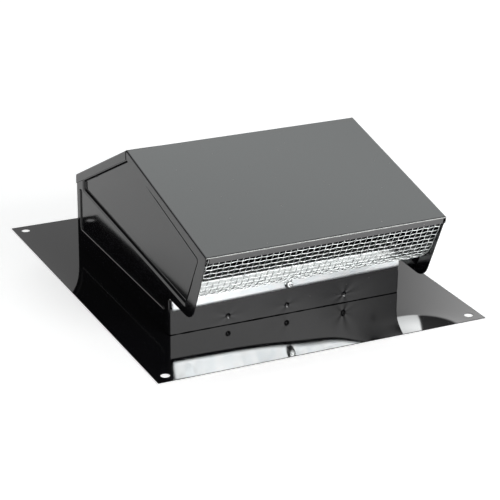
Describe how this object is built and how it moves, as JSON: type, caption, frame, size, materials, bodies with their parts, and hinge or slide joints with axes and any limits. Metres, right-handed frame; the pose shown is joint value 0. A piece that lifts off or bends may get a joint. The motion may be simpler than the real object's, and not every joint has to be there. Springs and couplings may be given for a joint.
{
  "type": "rain cap",
  "caption": "Black steel roof cap: a sloped hood with flared side wings over a low box on a flat flashing, a wire bird screen in its mouth and a hanging damper flap inside.",
  "frame": {"origin": "middle of the flashing's underside, which lies on the roof", "axes": "+Z away from the roof, -Y the way the screened mouth faces, +X to the right seen from the mouth"},
  "size_m": [0.362, 0.428, 0.1609],
  "materials": {
    "black_paint": "glossy",
    "zinc_coating": "galvanised, satin",
    "seal_foam": "matt foam"
  },
  "bodies": {
    "cap_body": {"base_flashing": "black_paint", "side_wall_left": "black_paint", "side_wall_right": "black_paint", "front_wall": "black_paint", "rear_wall": "black_paint", "hood_top": "black_paint", "damper_sill": "zinc_coating", "bird_screen": "zinc_coating", "screen_strip": "zinc_coating", "strip_screw": "zinc_coating", "damper_rod": "zinc_coating", "rod_lug_left": "zinc_coating", "rod_lug_right": "zinc_coating", "rod_clip_left": "zinc_coating", "rod_clip_right": "zinc_coating", "flap_seal": "seal_foam"},
    "flap_body": {"damper_flap": "black_paint"}
  },
  "joints": [
    {"name": "flap_hinge", "type": "hinge", "parent": "cap_body", "child": "flap_body", "pos_m": [0, -0.074, 0.13823], "axis": [-1, 0, 0], "range_deg": [0, 60]}
  ]
}
